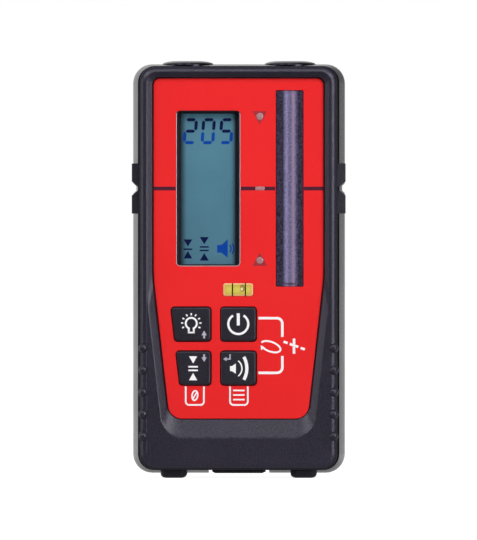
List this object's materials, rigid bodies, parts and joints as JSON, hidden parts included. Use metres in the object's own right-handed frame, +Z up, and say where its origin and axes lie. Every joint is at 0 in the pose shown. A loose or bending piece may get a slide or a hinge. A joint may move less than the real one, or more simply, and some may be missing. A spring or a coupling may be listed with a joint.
{
  "type": "laser receiver",
  "caption": "Hand-held laser level receiver with display, sensor strip, keys and bubble vial in a tapered faceplate, top magnets, feet and rear battery door.",
  "frame": {"origin": "bottom centre of the overall box, level with the underside of the feet", "axes": "+Z up, the faceplate looks along -Y, +X to the right seen from the front"},
  "size_m": [0.0806, 0.034, 0.1573],
  "materials": {
    "housing_black": "fine grained black moulding",
    "faceplate_red": "smooth satin red",
    "window_clear": "clear moulded window",
    "frame_black": "dull black",
    "lcd_glass": "grey-green display glass",
    "light_guide": "milky light guide",
    "sensor_dark": "dark tinted lens",
    "lens_pink": "translucent lens",
    "vial_yellow": "clear yellow-green block",
    "key_black": "fine grained rubber",
    "rubber_black": "dull rubber",
    "seal_grey": "grey seal rubber",
    "steel": "zinc plated",
    "magnet_steel": "black coated steel",
    "magnet_grey": "ground magnet face",
    "brass": "turned brass",
    "board_green": "solder mask",
    "part_black": "moulded electronic part",
    "led_white": "small lamp body",
    "plunger_red": "switch plunger",
    "cell_wrap": "plain printed sleeve",
    "contact_nickel": "nickel plated spring strip"
  },
  "bodies": {
    "housing": {"front_shell": "housing_black", "rear_shell": "housing_black", "seal_gasket": "seal_grey", "housing_screws": "steel", "faceplate": "faceplate_red", "display_window": "window_clear", "lcd_frame": "frame_black", "lcd_panel": "lcd_glass", "lcd_backlight": "light_guide", "lcd_connectors": "seal_grey", "sensor_lens": "sensor_dark", "sensor_board": "board_green", "photodiodes": "part_black", "sensor_header": "part_black", "arrow_light_pipes": "lens_pink", "level_light_pipe": "lens_pink", "indicator_leds": "led_white", "vial_body": "vial_yellow", "vial_liquid": "vial_yellow", "main_board": "board_green", "board_parts": "part_black", "board_screws": "steel", "buzzer": "part_black", "switch_bodies": "part_black", "left_mark_pad": "rubber_black", "right_mark_pad": "rubber_black", "left_foot": "rubber_black", "right_foot": "rubber_black", "magnet_cups": "magnet_steel", "magnet_discs": "magnet_grey", "clamp_insert": "brass", "battery_cells": "cell_wrap", "contact_bridge": "contact_nickel", "contact_tabs": "contact_nickel", "hinge_pin": "steel"},
    "battery_door": {"battery_door": "housing_black", "door_seal": "seal_grey"},
    "door_latch": {"door_latch": "frame_black"},
    "light_key": {"light_key": "key_black", "light_plunger": "plunger_red"},
    "power_key": {"power_key": "key_black", "power_plunger": "plunger_red"},
    "precision_key": {"precision_key": "key_black", "precision_plunger": "plunger_red"},
    "volume_key": {"volume_key": "key_black", "volume_plunger": "plunger_red"}
  },
  "joints": [
    {"name": "light_press", "type": "slide", "parent": "housing", "child": "light_key", "axis": [0, 1, 0], "range_m": [0, 0.0005], "stiffness_N_per_m": 800, "springref_m": -0.0005},
    {"name": "power_press", "type": "slide", "parent": "housing", "child": "power_key", "axis": [0, 1, 0], "range_m": [0, 0.0005], "stiffness_N_per_m": 800, "springref_m": -0.0005},
    {"name": "precision_press", "type": "slide", "parent": "housing", "child": "precision_key", "axis": [0, 1, 0], "range_m": [0, 0.0005], "stiffness_N_per_m": 800, "springref_m": -0.0005},
    {"name": "volume_press", "type": "slide", "parent": "housing", "child": "volume_key", "axis": [0, 1, 0], "range_m": [0, 0.0005], "stiffness_N_per_m": 800, "springref_m": -0.0005},
    {"name": "door_hinge", "type": "hinge", "parent": "housing", "child": "battery_door", "pos_m": [0, 0.0151, 0.0684], "axis": [1, 0, 0], "range_deg": [0, 90]},
    {"name": "latch_slide", "type": "slide", "parent": "battery_door", "child": "door_latch", "axis": [0, 0, 1], "range_m": [0, 0.002]}
  ]
}
